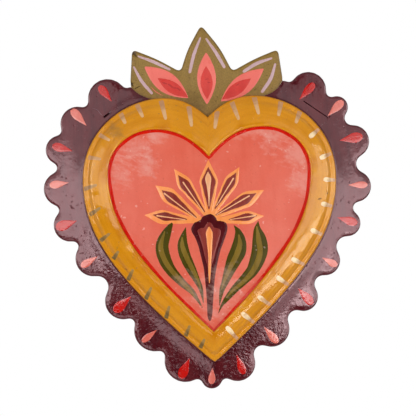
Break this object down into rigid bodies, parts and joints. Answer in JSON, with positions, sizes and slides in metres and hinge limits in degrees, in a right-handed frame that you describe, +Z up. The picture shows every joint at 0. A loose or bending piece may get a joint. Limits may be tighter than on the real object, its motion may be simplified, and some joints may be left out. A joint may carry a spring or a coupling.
{
  "type": "wooden heart ornament",
  "caption": "Painted wooden heart for a wall: scalloped board with a leaf crown, a rounded heart rim round a domed panel, and a swinging ring let into the back to hang it by.",
  "frame": {"origin": "on the flat back, on the middle line, half-way up the ornament", "axes": "+Z up to the crown's tip, -Y out of the painted front, +Y out of the flat back to the wall, +X to the right as seen from the front"},
  "size_m": [0.1634, 0.019, 0.1806],
  "materials": {
    "maroon_lacquer": "dark maroon paint under glossy, pitted varnish",
    "olive_paint": "olive-gold paint, satin varnish",
    "ochre_lacquer": "ochre yellow paint, glossy varnish",
    "pink_lacquer": "coral pink paint, glossy varnish",
    "bright_steel": "bright drawn steel",
    "brassed_steel": "thin brass plating, a little dulled"
  },
  "bodies": {
    "ornament": {"frill_board": "maroon_lacquer", "leaf_crown": "olive_paint", "heart_rim": "ochre_lacquer", "heart_panel": "pink_lacquer", "rim_brad_1": "bright_steel", "rim_brad_2": "bright_steel", "rim_brad_3": "bright_steel", "rim_brad_4": "bright_steel", "rim_brad_5": "bright_steel", "rim_brad_6": "bright_steel", "crown_brad_1": "bright_steel", "crown_brad_2": "bright_steel", "panel_brad_1": "bright_steel", "panel_brad_2": "bright_steel", "panel_brad_3": "bright_steel", "hanger_strap": "brassed_steel", "hanger_screw_1": "bright_steel", "hanger_screw_2": "bright_steel"},
    "ring": {"hanger_ring": "brassed_steel"}
  },
  "joints": [
    {"name": "ring_swing", "type": "hinge", "parent": "ornament", "child": "ring", "pos_m": [0, -0.003, 0.0217], "axis": [-1, 0, 0], "range_deg": [0, 160]}
  ]
}
